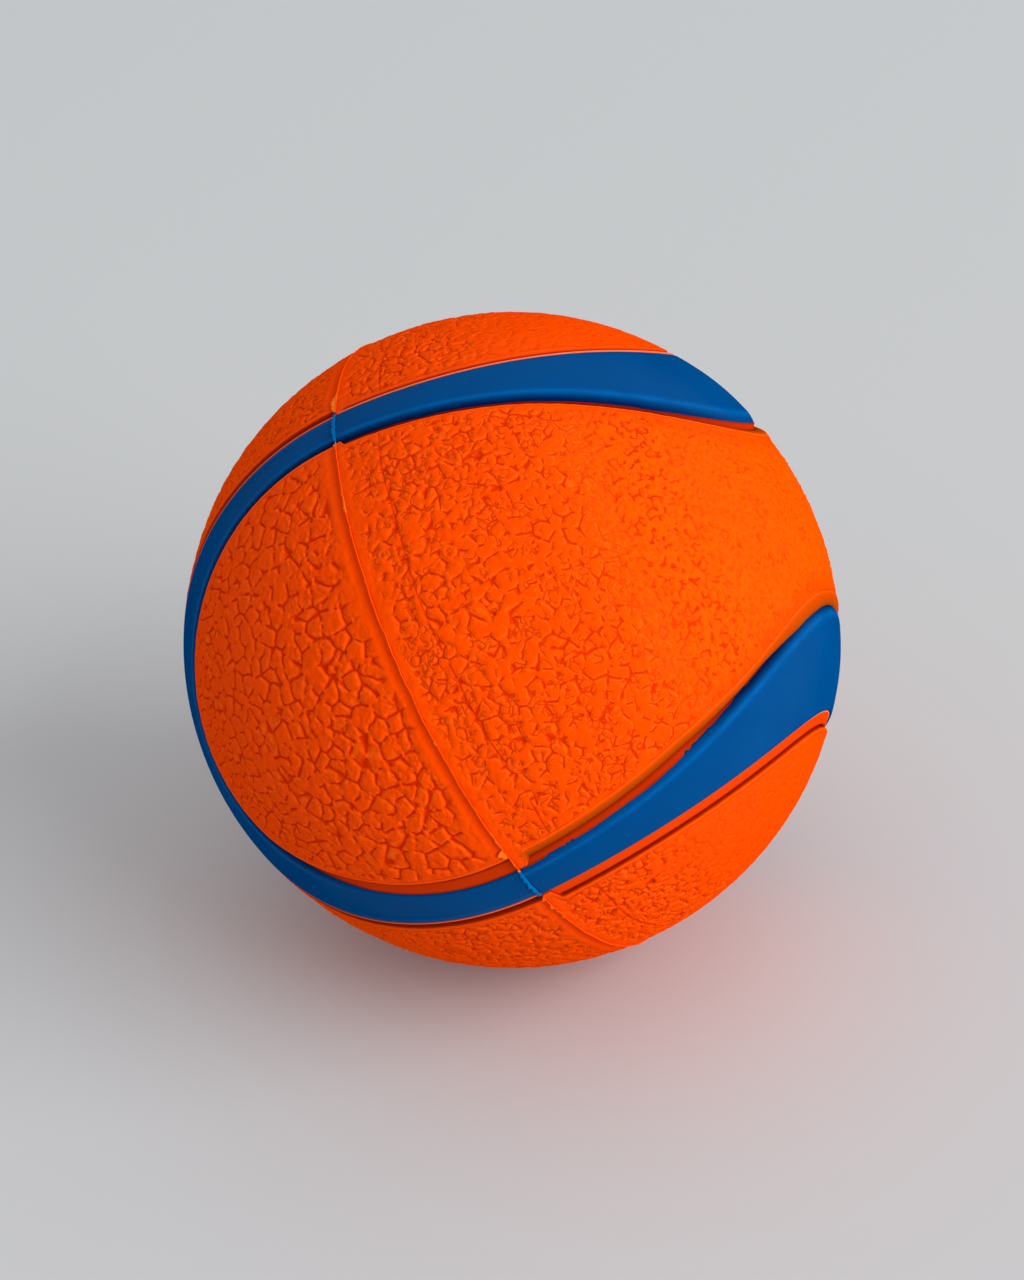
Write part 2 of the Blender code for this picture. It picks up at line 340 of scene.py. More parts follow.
def half_width(t, side):
    """From the seam to the band's border, on the neck side (1) or the lobe side (-1)."""
    at_bend, early = AT_BEND[side]
    way = np.sin(2 * t) ** 2
    growth = early * way + (1 - early) * way**2
    return BAND_AT_PARTING / 2 + (at_bend - BAND_AT_PARTING / 2) * growth


def beside_seam(t, across, depth):
    """Points at signed distances across the seam and depths below the surface, a row for each t."""
    point, side = seam(t)
    angle = (across / BALL_RADIUS)[..., None]
    outward = np.cos(angle) * point[:, None] + np.sin(angle) * side[:, None]
    return (BALL_RADIUS - depth)[..., None] * outward


def lip(t, side, crescent):
    """For each t: the lip's points as in LIPS, the gap and the foot in metres, and the softness."""
    rows, stops = [], CRESCENT_SIDES[crescent, side]
    for _, kind, gap in stops:
        drawn_gap, foot, softness, points = LIPS[kind]
        points = np.array(points, float)
        points[:, 0] *= gap / drawn_gap
        rows.append([*points.ravel(), gap * MM, gap * foot * MM, softness])
    way = np.clip(t / (pi / 2), 0, 1)
    shares = [share for share, _, _ in stops]
    table = np.stack([np.interp(way, shares, column) for column in np.array(rows).T], -1)
    return table[:, :-3].reshape(len(t), -1, 4), table[:, -3:-2], table[:, -2:-1], table[:, -1:]


def channel_section(t, side, crescent):
    """From the pocket's middle to the panel's root: distances, depths, painted highlight and shade.
    """
    width = half_width(t, side)[:, None]
    points, *_ = lip(t, side, crescent)
    beside, down, corner_highlight, deep = (points[:, :, column] for column in range(4))
    border = down[:, :1] * MM
    level = np.ones_like(width)
    inner = width - LIP_UNDER_BAND
    floor = (BAND_THICKNESS + BOND_GAP) * level
    along_bevel, down_bevel = LIP_BEVEL
    foot, foot_depth = CHANNEL_FOOT
    root = width + CHANNEL_ROOT
    across = [0 * width, inner, inner, inner + along_bevel, width + beside * MM, width + foot]
    across += [root * share for share in (1.0, 0.66, 0.33, 0.0)]
    depth = [floor, floor, border + down_bevel, border, down * MM, foot_depth * level]
    depth += [ROOT_DEPTH * level] * 4
    under_band, under_panel = np.zeros((len(t), 4)), np.zeros((len(t), 5))
    corner_highlight = np.hstack([under_band, corner_highlight, under_panel])
    deep = np.hstack([under_band + 1, deep, under_panel + 1])
    return side * np.hstack(across), np.hstack(depth), corner_highlight, deep


along = np.linspace(0, pi / 2, CHANNEL_STEPS + 1)
for crescent, (half, turn) in CRESCENTS.items():
    neck_side = channel_section(along, 1, crescent)
    lobe_side = channel_section(along, -1, crescent)
    across, depth, corner_highlight, deep = (
        np.hstack([lobe[:, -2:0:-1], neck]) for lobe, neck in zip(lobe_side, neck_side)
    )
    points = beside_seam(along, across, depth) @ turn
    marks = {"corner_highlight": corner_highlight, "deep": deep}
    channel = solid("channel_" + crescent, points, half, moulded_rubber, marks)
    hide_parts(half + "_shell")
    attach(channel, "root")


# The pebbled panels, the ball's grip. The mould's surface is etched like leather: plump pebbles
# with cracks between them beside the parting plane, and shorter, finer cracks towards the poles.
SKIN_DEPTH = 0.08 * MM  # the pebbles' tops lie this far inside the true sphere
SKIN_RADIUS = BALL_RADIUS - SKIN_DEPTH
# A panel's edge from its foot to its top, on the neck side (1), where it slopes, and on the lobe
# side (-1), where it is steep: shares of the way across, and of the depth.
EDGE_FORMS = {
    1: (
        (0, 1), (0.08, 0.84), (0.18, 0.68), (0.34, 0.52), (0.52, 0.36), (0.7, 0.2), (0.84, 0.08),
        (0.94, 0.015), (1, 0),
    ),
    -1: (
        (0, 1), (0.03, 0.74), (0.08, 0.53), (0.16, 0.35), (0.28, 0.21), (0.43, 0.11), (0.61, 0.045),
        (0.8, 0.01), (1, 0),
    ),
}
SOFT_DROP = (1, 0.42, 0.29, 0.21, 0.145, 0.085, 0.04, 0.01, 0)  # of the depth, at a soft edge
EDGE_FOOT_DEPTH = 1.1 * GROOVE_DEPTH
EDGE_SIT = 0.1 * MM  # how far inwards the edge's foot bends on its way down into the wall
PANEL_BORDER = 1.5 * MM
RIM_WALL = {"front_upper": 0.8 * MM, "front_lower": 1.3 * MM}  # closes a groove's end
RIM_WALL_SLOPE = 0.35 * MM
RIM_WALL_EDGE = 0.02 * MM, 0.32 * MM  # its foot and its top, beside the band's border
BORDER_STEPS = 9
PANEL_ROWS = 412
PAD_ROWS = 400
SKIN_COLUMNS = 190
ROOT_STEPS = 8
CHART_SHIFT = 150.0  # mm from one piece's pattern to the next one's
PAD_SCALE = {"front": 1.0, "back": 0.85}  # below 1, a pad's pebbles are larger
# The pebbles' sizes are in mm, as the ball is in their node trees.
PEBBLE = 1.6
SMALL_PEBBLE = 0.95
FOLD = 1.1
CRACK_WIDTH = 0.28
CRACK_DEPTH = 0.12
PILLOW_WIDTH = 0.85
PILLOW_DEPTH = 0.09
FOLD_WIDTHS = 0.06, 0.13  # a fold's crack and its pillow, in the fold noise's own unit
SWAYS = (2.6, 0.75), (0.85, 0.26), (0.35, 0.04)  # sizes and amounts of what bends the cracks
# Where each kind of crack is found: its patches' size, and the noise levels that it sets in at.
PATCHES = {
    "large": (0.9, 0.45, 0.54),
    "dashes": (0.62, 0.48, 0.56),
    "dashed fields": (2.6, 0.5, 0.58),
    "small": (0.75, 0.53, 0.6),
    "folds": (1.5, 0.51, 0.58),
}
SWELL = 1.0, 0.11  # size and depth of the panels' gentle unevenness
DENT = 0.5  # size of the small dents on the pebbles
# A trough on the back's side of the parting plane, a wandering line on the front's side, and a
# crease beside the panel's edge.
TROUGH_DEPTH, LINE_DEPTH, CREASE_DEPTH = 0.15, 0.08, 0.05
LINE_HEIGHT, LINE_WANDER, LINE_WIDTH = 3.7, 1.3, 0.17
CREASE_IN, CREASE_WIDTH = 0.2, 0.09
# Pinholes left by bubbles in the rubber, in mm in the ball's frame.
PITS = (-5.9, -27.1, 16.9), (24.8, -17.8, -11.1), (8.6, -29.3, 11.0)
PIT_RADIUS, PIT_DEPTH = 0.17, 0.16
GROOVE_SHADE = 0.42 * MM, 1.05 * MM  # the depths between which painted shade deepens the colour
PANEL_ORANGES = "#FA4400", "#FF4E00"
POLE_ORANGE = "#FF5A00"
# Painted shade in the cracks, creases, hollows and pits.
CRACK_RED = "#D02200"
ROLLED_ORANGE = "#A44400"  # painted shade on the rolled edges of the front panel, which see the ball's shade
CREST_HIGHLIGHT_ORANGE = "#FF7418"  # painted highlight on the edges' crests and the pebbles' rims


def smooth_step(start, end, value):
    share = np.clip((value - start) / (end - start), 0, 1)
    return share * share * (3 - 2 * share)


def where_level(side, crescent, end):
    """The t beside a crescent's end at which the panel's top edge crosses the parting plane."""
    low, high = -0.05, 0.05
    onward = 1 if end == 0 else -1
    for _ in range(40):  # halvings
        middle = (low + high) / 2
        t = np.array([end + onward * middle])
        top = half_width(t, side)[:, None] + lip(t, side, crescent)[1]
        height = beside_seam(t, side * top, np.zeros((1, 1)))[0, 0, 2]
        low, high = (low, middle) if height > 0 else (middle, high)
    return end + onward * low


def panel_edge(side, crescent, rows, ends=(0, pi / 2)):
    """A panel's rolled edge and smooth border, from its root: points, and mm in from the edge."""
    t = np.linspace(*(where_level(side, crescent, end) for end in ends), rows + 1)
    width = half_width(t, side)[:, None]
    _, gap, foot, softness = lip(t, side, crescent)
    form = np.array(EDGE_FORMS[side])
    drop = form[:, 1] + (np.array(SOFT_DROP) - form[:, 1]) * softness
    flat = np.linspace(0, 1, BORDER_STEPS + 1)[1:]

    def profile(foot, top, end):
        edge = foot + (top - foot) * form[:, 0]
        level = np.ones_like(foot)
        across = np.hstack([foot + EDGE_SIT, edge, top + (end - top) * flat])
        depth = [ROOT_DEPTH * level, EDGE_FOOT_DEPTH * drop, 0 * flat * level]
        return across, np.hstack(depth), across - top

    top = width + gap
    across, depth, inside = profile(width + foot, top, top + PANEL_BORDER)
    if rim_wall := RIM_WALL.get(crescent):
        rim = profile(*(width + beside for beside in RIM_WALL_EDGE), top + PANEL_BORDER)
        height = beside_seam(t, side * top, np.zeros_like(top))[:, :, 2]
        open_groove = smooth_step(rim_wall - RIM_WALL_SLOPE, rim_wall, height)
        across, depth, inside = (
            r + (g - r) * open_groove for r, g in zip(rim, (across, depth, inside))
        )
    return beside_seam(t, side * across, depth + SKIN_DEPTH), inside / MM


def angle_between(start, end):
    """The angle at the ball's centre between points on the skin, never quite 0."""
    cosine = np.sum(start * end, -1) / SKIN_RADIUS**2
    return np.maximum(np.arccos(np.clip(cosine, -1, 1)), 1e-6)


def between(start, end, angle, share):
    """Points on the great circles from each row's start to its end, at shares of the way."""
    angle, share = angle[:, None, None], share[:, None]
    way = np.sin((1 - share) * angle) * start[:, None] + np.sin(share * angle) * end[:, None]
    return way / np.sin(angle)


def slab(points, inside):
    """A panel closed underneath, with its first and last rows laid flat on the parting plane."""
    for end in (0, -1):
        radius = np.linalg.norm(points[end], axis=-1, keepdims=True)
        points[end] = unit(points[end] * (1, 1, 0)) * radius
    columns = 0, points.shape[1] // 2, -1
    left, centre, right = (unit(points[:, column])[:, None] for column in columns)
    share = np.linspace(1, 0, ROOT_STEPS + 1)[None, :, None]
    bottom = share**2 * right + 2 * share * (1 - share) * centre + (1 - share) ** 2 * left
    bottom = unit(bottom) * (BALL_RADIUS - ROOT_DEPTH)
    under = np.full(bottom.shape[:2], -5.0)  # far outside the panel's edge, so without pebbles
    return np.hstack([points, bottom]), np.hstack([inside, under])


def skin_marks(points, inside, half, is_pad, grain):
    """What the skin's nodes read at each point: the mm in from the edge, the chart, how far the
    pebbles are worn off, how fine they are (1 at a pole, 0 beside the parting plane, -1 on the
    back's side pads, where they are plump), and the painted shade on a turned down edge, olive on
    the front panel and deep red on the rest."""
    down = (SKIN_RADIUS - np.linalg.norm(points, axis=-1)) / MM
    height = points[..., 2] / MM
    lit_edge = half == "front" and not is_pad
    worn_pad = half == "front" and is_pad
    pad_fineness = 0 * inside - (half == "back")
    by_depth = (0.6 + 0.4 * smooth_step(0.05, 0.5, down)) * smooth_step(1.15, 0.8, down)
    return {
        "edge": inside,
        "grain": grain,
        "worn": 0.72 * worn_pad * smooth_step(8.0, 16.0, height),
        "fine": pad_fineness if is_pad else smooth_step(14.0, 26.0, height),
        "rolled": lit_edge * smooth_step(0.04, 0.2, -inside) * by_depth,
        "shaded": 0.85 * (not lit_edge) * smooth_step(0.05, 0.3, down),
    }


def chart(points, forward, right, up, shift):
    """A flat chart of a piece in mm, true to shape beside the circle from forward to right."""
    outward = unit(points)
    x = np.arctan2(outward @ np.array(right), outward @ np.array(forward))
    y = np.arctanh(np.clip(outward @ np.array(up), -0.97, 0.97))
    return np.stack([x, y, 0 * x], -1) * BALL_RADIUS / MM + (shift * CHART_SHIFT, 0, 0)


def maths(tree, operation, *values):
    """A value worked out from numbers and sockets."""
    return add(tree, "ShaderNodeMath", dict(enumerate(values)), operation=operation).outputs[0]


def vector_maths(tree, operation, *values, output="Vector", **named):
    inputs = {**dict(enumerate(values)), **named}
    return add(tree, "ShaderNodeVectorMath", inputs, operation=operation).outputs[output]


def on_ball(tree, position, radius):
    """The way outwards at a position, and the place above it on a ball of the given radius."""
    outward = vector_maths(tree, "NORMALIZE", position)
    return outward, vector_maths(tree, "SCALE", outward, Scale=radius)


def pebbles(tree, place, grain, edge, worn, fine, crack_width):
    """Adds the pebbles at a place in mm. Gives their depth in mm, painted shade and painted
    highlight.
    """
    step, blend = partial(ramp, tree), partial(maths, tree, "MULTIPLY_ADD")

    def times(*values):
        return reduce(partial(maths, tree, "MULTIPLY"), values)

    def most(*values):
        return reduce(partial(maths, tree, "MAXIMUM"), values)

    def off(value, centre):
        return maths(tree, "ABSOLUTE", maths(tree, "SUBTRACT", value, centre))

    def fade(value, end, high=1.0, start=0.0):
        """From high at the start down to nothing at the end."""
        return step(value, start, end, high, 0.0)

    def patches(size, start=None, end=None, detail=0.0):
        level = noise(tree, size, detail, place)
        return level if start is None else step(level, start, end)

    def swayed(at, size, amount):
        sway = noise(tree, size, 0.0, place, "Color")
        sway = vector_maths(tree, "SUBTRACT", sway, (0.5, 0.5, 0.5))
        return vector_maths(tree, "MULTIPLY_ADD", sway, (amount, amount, amount), at)

    def to_border(at, size):
        """How much nearer the nearest cell is than the next: 0 on a border, rounded at corners."""
        inputs = {"Vector": at, "Scale": 1 / size, "Randomness": 0.92}
        farther, nearest = (
            add(tree, "ShaderNodeTexVoronoi", inputs, voronoi_dimensions="2D", feature=feature)
            for feature in ("F2", "F1")
        )
        gap = maths(tree, "SUBTRACT", farther.outputs["Distance"], nearest.outputs["Distance"])
        return times(gap, size)

    # The regions: the height above the parting plane, and where each kind of crack is found.
    axis = tuple(MOULD @ Vector((0, 0, 1)))
    level = vector_maths(tree, "DOT_PRODUCT", place, axis, output="Value")
    height = maths(tree, "ABSOLUTE", level)
    finest, plump = step(fine, 0.0, 1.0), step(fine, -1.0, 0.0, 1.0, 0.0)
    off_pole = step(height, 25.0, 30.0, 1.0, 0.3)
    size, start, end = PATCHES["large"]
    large_kept = step(blend(plump, 0.04, patches(size, detail=1.0)), start, end)
    large_kept = times(large_kept, step(fine, 0.25, 1.0, 1.0, 0.0))
    dashes = times(patches(*PATCHES["dashes"]), patches(*PATCHES["dashed fields"]))
    dashes = times(dashes, blend(plump, -0.6, 0.8))
    small_kept = most(dashes, times(patches(*PATCHES["small"]), finest, off_pole))
    folds_kept = times(patches(*PATCHES["folds"]), blend(finest, -0.45, 0.85))
    folds_kept = times(folds_kept, blend(plump, -0.6, 1.0), off_pole)

    # The cracks, the pillows that round the pebbles off towards them, and the pebbles' rims, where
    # a painted highlight brightens the colour.
    bent = grain
    for size, amount in SWAYS:
        bent = swayed(bent, size, amount)
    large, small = to_border(bent, PEBBLE), to_border(bent, SMALL_PEBBLE)
    fold = off(patches(FOLD, detail=1.0), 0.5)
    small_width = blend(finest, 0.12, crack_width)
    families = (
        (large, large_kept, crack_width, PILLOW_WIDTH, 1.0),
        (small, small_kept, small_width, 0.6 * PILLOW_WIDTH, 0.8),
        (fold, folds_kept, *FOLD_WIDTHS, 0.8),
    )
    crack = most(*(times(fade(away, width), kept) for away, kept, width, _, _ in families))
    pillow = most(*(times(fade(away, end, high), kept) for away, kept, _, end, high in families))
    rim = times(step(pillow, 0.1, 0.5), fade(pillow, 0.9, start=0.6))

    # Beside the parting plane and at the panels' edges the skin is nearly smooth.
    smooth_from = times(patches(5.0), step(level, -0.5, 0.5, 2.4, 0.6))
    smooth_to = maths(tree, "ADD", smooth_from, 1.2)
    strength = times(
        step(edge, 0.15, 0.6), step(height, smooth_from, smooth_to, 0.12, 1.0),
        maths(tree, "SUBTRACT", 1.0, worn),
    )
    crack, rim = times(crack, strength), times(rim, strength)
    depth = times(pillow, strength, blend(plump, 0.035, PILLOW_DEPTH))
    depth = blend(crack, CRACK_DEPTH, depth)
    swell, swell_depth = SWELL
    depth = blend(patches(swell, detail=1.0), swell_depth, depth)
    long_way_up = vector_maths(tree, "MULTIPLY", place, (1.25, 1.25, 0.6))
    dents = noise(tree, DENT, 1.0, long_way_up)
    rough = times(blend(strength, 0.07, 0.035), step(finest, 0.0, 1.0, 1.0, 3.0))
    depth = blend(dents, rough, depth)

    on_panel = step(edge, -0.05, 0.4)
    trough = times(step(level, -1.4, -0.45), fade(level, -0.05, start=-0.4), on_panel)
    off_line = off(level, blend(patches(9.0), LINE_WANDER, LINE_HEIGHT))
    line = times(fade(off_line, LINE_WIDTH), patches(3.0, 0.24, 0.36), on_panel)
    crease = times(fade(off(edge, CREASE_IN), CREASE_WIDTH), patches(3.4, 0.34, 0.5))
    for share, sunk in ((trough, TROUGH_DEPTH), (line, LINE_DEPTH), (crease, CREASE_DEPTH)):
        depth = blend(share, sunk, depth)
    # Painted shade darkens the cracks, the crease, the line, the trough, the hollows and the pits.
    hollows = times(step(dents, 0.5, 0.66), step(finest, 0.0, 1.0, 0.1, 0.3), strength)
    dark = most(crack, times(crease, 0.65), times(line, 0.9), times(trough, 0.35), hollows)
    for pit in PITS:
        off_pit = vector_maths(tree, "DISTANCE", place, pit, output="Value")
        in_pit = fade(off_pit, PIT_RADIUS, start=0.06)
        depth = blend(in_pit, PIT_DEPTH, depth)
        dark = most(dark, in_pit)
    return times(depth, step(edge, -0.25, 0.0)), dark, rim


def new_group(name, inputs, output):
    """A geometry node group from its inputs' names and kinds, and the sockets it is given."""
    tree = bpy.data.node_groups.new(name, "GeometryNodeTree")
    for socket, kind in inputs.items():
        tree.interface.new_socket(socket, in_out="INPUT", socket_type="NodeSocket" + kind)
    tree.interface.new_socket(output, in_out="OUTPUT", socket_type="NodeSocketGeometry")
    return tree, add(tree, "NodeGroupInput").outputs


def passed(tree, geometry, kind, inputs=None, **settings):
    """A geometry after one more node, which takes it as its first input."""
    inputs = {0: geometry, **(inputs or {})}
    return add(tree, "GeometryNode" + kind, inputs, **settings).outputs[0]


def give_out(tree, geometry, material, output):
    """Ends a node group: its geometry made real, dressed in a material, and given out."""
    real = passed(tree, geometry, "RealizeInstances")
    dressed = passed(tree, real, "SetMaterial", {"Material": material})
    add(tree, "NodeGroupOutput", {output: dressed})


def relief_tree():
    """The node group that sinks the pebble pattern into a panel."""
    inputs = {"Panel": "Geometry", "Ball Radius": "Float", "Crack Width": "Float"}
    tree, given = new_group("pebbled skin", {**inputs, "Rubber": "Material"}, "Skin")

    def named(name, kind="FLOAT"):
        node = "GeometryNodeInputNamedAttribute"
        return add(tree, node, {"Name": name}, data_type=kind).outputs[0]

    position = add(tree, "GeometryNodeInputPosition").outputs[0]
    in_mm = maths(tree, "MULTIPLY", given["Ball Radius"], 1 / MM)
    outward, place = on_ball(tree, position, in_mm)
    grain, edge = named("grain", "FLOAT_VECTOR"), named("edge")
    worn, fine = named("worn"), named("fine")
    depth, *_ = pebbles(tree, place, grain, edge, worn, fine, given["Crack Width"])
    offset = vector_maths(tree, "SCALE", outward, Scale=maths(tree, "MULTIPLY", depth, -MM))
    moved = passed(tree, given["Panel"], "SetPosition", {"Offset": offset})
    merged = passed(tree, moved, "MergeByDistance", {"Distance": 0.001 * MM})
    give_out(tree, merged, given["Rubber"], "Skin")
    return tree


def through_nodes(piece, tree, **values):
    """Runs a node tree over a piece with the named inputs set, and keeps the result as its mesh."""
    modifier = piece.modifiers.new(tree.name, "NODES")
    modifier.node_group = tree
    for socket in tree.interface.items_tree:
        key = socket.name.lower().replace(" ", "_")
        if socket.in_out == "INPUT" and key in values:
            modifier[socket.identifier] = values[key]
    graph = bpy.context.evaluated_depsgraph_get()
    result = bpy.data.meshes.new_from_object(piece.evaluated_get(graph), depsgraph=graph)
    result.name = piece.name
    piece.modifiers.clear()
    piece.data = result
    return piece


# Pressed against etched steel, the rubber shows its grain. Painted shade makes it red in the
# cracks, which light reaches only by way of more rubber, and on turned down edges and deep in the
# grooves; a painted highlight makes it yellower on the edges' crests and the pebbles' rims.
pebbled_rubber, tree, shader = new_material("natural rubber, moulded with a leather grain")
where = add(tree, "ShaderNodeTexCoord").outputs["Object"]
_, place = on_ball(tree, where, BALL_RADIUS / MM)
edge, grain, fine = mark(tree, "edge"), mark(tree, "grain", "Vector"), mark(tree, "fine")
depth, crack, rim = pebbles(tree, place, grain, edge, mark(tree, "worn"), fine, CRACK_WIDTH)
crest = ramp(tree, maths(tree, "ABSOLUTE", edge), 0.02, 0.09, 0.3, 0.0, "LINEAR")
near_pole = ramp(tree, edge, 0.2, 2.5, 0.0, 0.7, "LINEAR")
near_pole = maths(tree, "MULTIPLY", fine, near_pole)
shade = mix(tree, noise(tree, 2.2, 3.0, place), *PANEL_ORANGES)
shade = mix(tree, near_pole, shade, POLE_ORANGE)
shade = mix(tree, maths(tree, "MULTIPLY", rim, 0.3), shade, CREST_HIGHLIGHT_ORANGE)
shade = mix(tree, maths(tree, "MULTIPLY", crack, 0.85), shade, CRACK_RED)
shade = mix(tree, mark(tree, "shaded"), shade, DEEP_ORANGE)
radius = vector_maths(tree, "LENGTH", where, output="Value")
in_groove = ramp(tree, radius, *(BALL_RADIUS - depth for depth in GROOVE_SHADE))
shade = mix(tree, in_groove, shade, DEEP_ORANGE)
shade = mix(tree, mark(tree, "rolled"), shade, ROLLED_ORANGE)
shade = mix(tree, crest, shade, CREST_HIGHLIGHT_ORANGE)
sunk = maths(tree, "MULTIPLY_ADD", noise(tree, 0.16, 1.0, place), 0.012, depth)
raised = maths(tree, "MULTIPLY", sunk, -1.0)
finish_surface(tree, shader, shade, RUBBER_ROUGHNESS, raised, MM, 0.45)
satin(tree, shader, ORANGE_SHEEN)

skin_relief = relief_tree()
skin_inputs = {
    "ball_radius": BALL_RADIUS,
    "crack_width": 1.4 * CRACK_WIDTH,  # as wide as the mesh can show, and the bump sharpens it
    "rubber": pebbled_rubber,
}
across_neck, along_neck = (sqrt(0.5), sqrt(0.5), 0), (-sqrt(0.5), sqrt(0.5), 0)
mould_axis = (0, 0, 1)


def skin_piece(name, points, inside, half, is_pad, grain):
    """A piece of the pebbled skin, from closed rows of points, their mm in and their chart."""
    marks = skin_marks(points, inside, half, is_pad, grain)
    piece = solid(name, points, half, pebbled_rubber, marks)
    return through_nodes(piece, skin_relief, **skin_inputs)


for shift, (half, left_name, right_name) in enumerate(
    (("front", "front_upper", "front_lower"), ("back", "back_far", "back_near"))
):
    left, left_inside = panel_edge(1, left_name, PANEL_ROWS)
    right, right_inside = panel_edge(1, right_name, PANEL_ROWS, (pi / 2, 0))
    right = right @ TURN_OVER
    span = angle_between(left[:, -1], right[:, -1])
    share = np.linspace(0, 1, SKIN_COLUMNS + 1)[1:-1]
    middle = between(left[:, -1], right[:, -1], span, share)
    from_edge = np.minimum(share, 1 - share) * span[:, None] * BALL_RADIUS / MM
    middle_inside = from_edge + PANEL_BORDER / MM
    points = np.hstack([left, middle, right[:, ::-1]])
    inside = np.hstack([left_inside, middle_inside, right_inside[:, ::-1]])
    points, inside = slab(points, inside)
    grain = chart(points, mould_axis, along_neck, across_neck, shift)
    panel = skin_piece(half + "_pole_panel", points, inside, half, False, grain)
    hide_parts(half + "_shell")
    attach(panel, "root")

for shift, (crescent, (half, turn)) in enumerate(CRESCENTS.items(), start=2):
    outer, outer_inside = panel_edge(-1, crescent, PAD_ROWS)
    ends = (np.arctan2(outer[row, -1, 1], outer[row, -1, 0]) for row in (0, -1))
    azimuth = np.linspace(*ends, PAD_ROWS + 1)
    level = polar(SKIN_RADIUS, azimuth, 0)
    start = outer[:, -1].copy()
    start[[0, -1]] = level[[0, -1]]
    angle = angle_between(start, level)
    share = np.linspace(0, 1, SKIN_COLUMNS + 1)[1:]
    inner = between(start, level, angle, share)
    inner_inside = PANEL_BORDER / MM + share * angle[:, None] * BALL_RADIUS / MM
    inside = np.hstack([outer_inside, inner_inside])[:, ::-1]
    points, inside = slab(np.hstack([outer, inner])[:, ::-1], inside)
    grain = chart(points, across_neck, along_neck, mould_axis, shift) * PAD_SCALE[half]
    pad = skin_piece("side_pad_" + crescent, points @ turn, inside, half, True, grain)
    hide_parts(half + "_shell")
    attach(pad, "root")


# The band: four crescents of blue rubber, moulded first and set in the shells' pockets. Their tops
# are smooth and crowned. A crest runs along the shoulder, paler with a painted highlight, and below
# it the side turns down to the lip, where trimming left the border ragged in places. Painted shade
# makes that side navy.
BLUES = "#00427C", "#004A88"
NAVY = "#001A48"
CREST_HIGHLIGHT_BLUE = "#005BA2"
BLUE_SHEEN = "#0088F0"
BAND_STEPS = 640
TOP_STEPS = 6
CROWN = 0.06 * MM
BAND_OVERHANG = 0.03 * MM  # of its top, over the lip's start
BAND_UNDERCUT = 0.05 * MM
NARROW_SHOULDER = 0.55  # its width at the parting plane, as a share of that at the bend
BORDER_ABOVE, BORDER_BELOW = 0.42, 0.8  # mm below the surface, beside a high and a low lip
# The shoulder beside a high lip and a low one, on the neck side and on the lobe side: mm inside the
# border, mm below the surface, the share of the crest's painted highlight and the share of the
# side's painted shade in the colour.
SHOULDERS = {
    1: (
        (
            (1.9, 0.06, 0, 0), (1.5, 0.06, 0.35, 0), (1.2, 0.075, 1, 0), (0.9, 0.12, 0.35, 0),
            (0.55, 0.2, 0, 0.05), (0.25, 0.29, 0, 0.2), (0.08, 0.36, 0, 0.4), (0, 0.42, 0, 0.7),
        ),
        (
            (1.9, 0.06, 0, 0), (1.5, 0.065, 0.35, 0), (1.2, 0.09, 1, 0), (0.9, 0.15, 0.5, 0.1),
            (0.6, 0.27, 0, 0.5), (0.3, 0.5, 0, 0.95), (0.1, 0.7, 0, 1), (0, 0.82, 0, 1),
        ),
    ),
    -1: (
        (
            (1.9, 0.05, 0, 0), (1.5, 0.05, 0, 0), (1.1, 0.06, 0, 0), (0.7, 0.07, 0, 0),
            (0.35, 0.09, 0, 0), (0.15, 0.14, 0, 0.05), (0.04, 0.26, 0, 0.15), (0, 0.4, 0, 0.3),
        ),
        (
            (1.9, 0.05, 0, 0), (1.4, 0.06, 0, 0), (1.1, 0.07, 0.4, 0), (0.8, 0.11, 0.8, 0),
            (0.6, 0.2, 0.2, 0.4), (0.3, 0.45, 0, 0.95), (0.1, 0.68, 0, 1), (0, 0.82, 0, 1),
        ),
    ),
}
FOLLOWS_RAGGED_BORDER = (0, 0, 0, 0.1, 0.4, 0.8, 1, 1)
RAGGED = {"front_lower": 0.17 * MM}
SLIGHTLY_RAGGED = 0.05 * MM
RAGGED_WAVES = (28, 0.5), (64, 0.4), (150, 0.16)  # steps along the band, and their strengths

# Pressed against satin steel, the blue is deep and even. A painted highlight pales its crest to a
# lighter line, and painted shade makes its side, turned down into the groove, navy.
satin_blue, tree, shader = new_material("blue rubber, satin moulded")
crest_highlight_patches = ramp(tree, noise(tree, 2 * MM), 0.3, 0.6, 0.45, 0.9, "LINEAR")
crest_highlight = maths(tree, "MULTIPLY", mark(tree, "crest"), crest_highlight_patches)
shade = mix(tree, noise(tree, 6 * MM), *BLUES)
shade = mix(tree, crest_highlight, shade, CREST_HIGHLIGHT_BLUE)
shade = mix(tree, mark(tree, "low_side"), shade, NAVY)
finish_surface(tree, shader, shade, 0.42, noise(tree, 0.3 * MM, 3.0), 0.02 * MM, 0.5)
satin(tree, shader, BLUE_SHEEN)


def ragged(t, seed):
    """An uneven wave along the band with steps in it, between about -1 and 1."""
    random = np.random.default_rng(seed)
    total = np.zeros_like(t)
    for steps, strength in RAGGED_WAVES:
        knots = np.sort(random.uniform(0, pi / 2, steps))
        levels = random.uniform(-1, 1, steps + 1)
        for knot, rise in zip(knots, np.diff(levels)):
            total += strength * rise * smooth_step(knot, knot + 0.3 / steps, t)
        total += strength * levels[0]
    return total


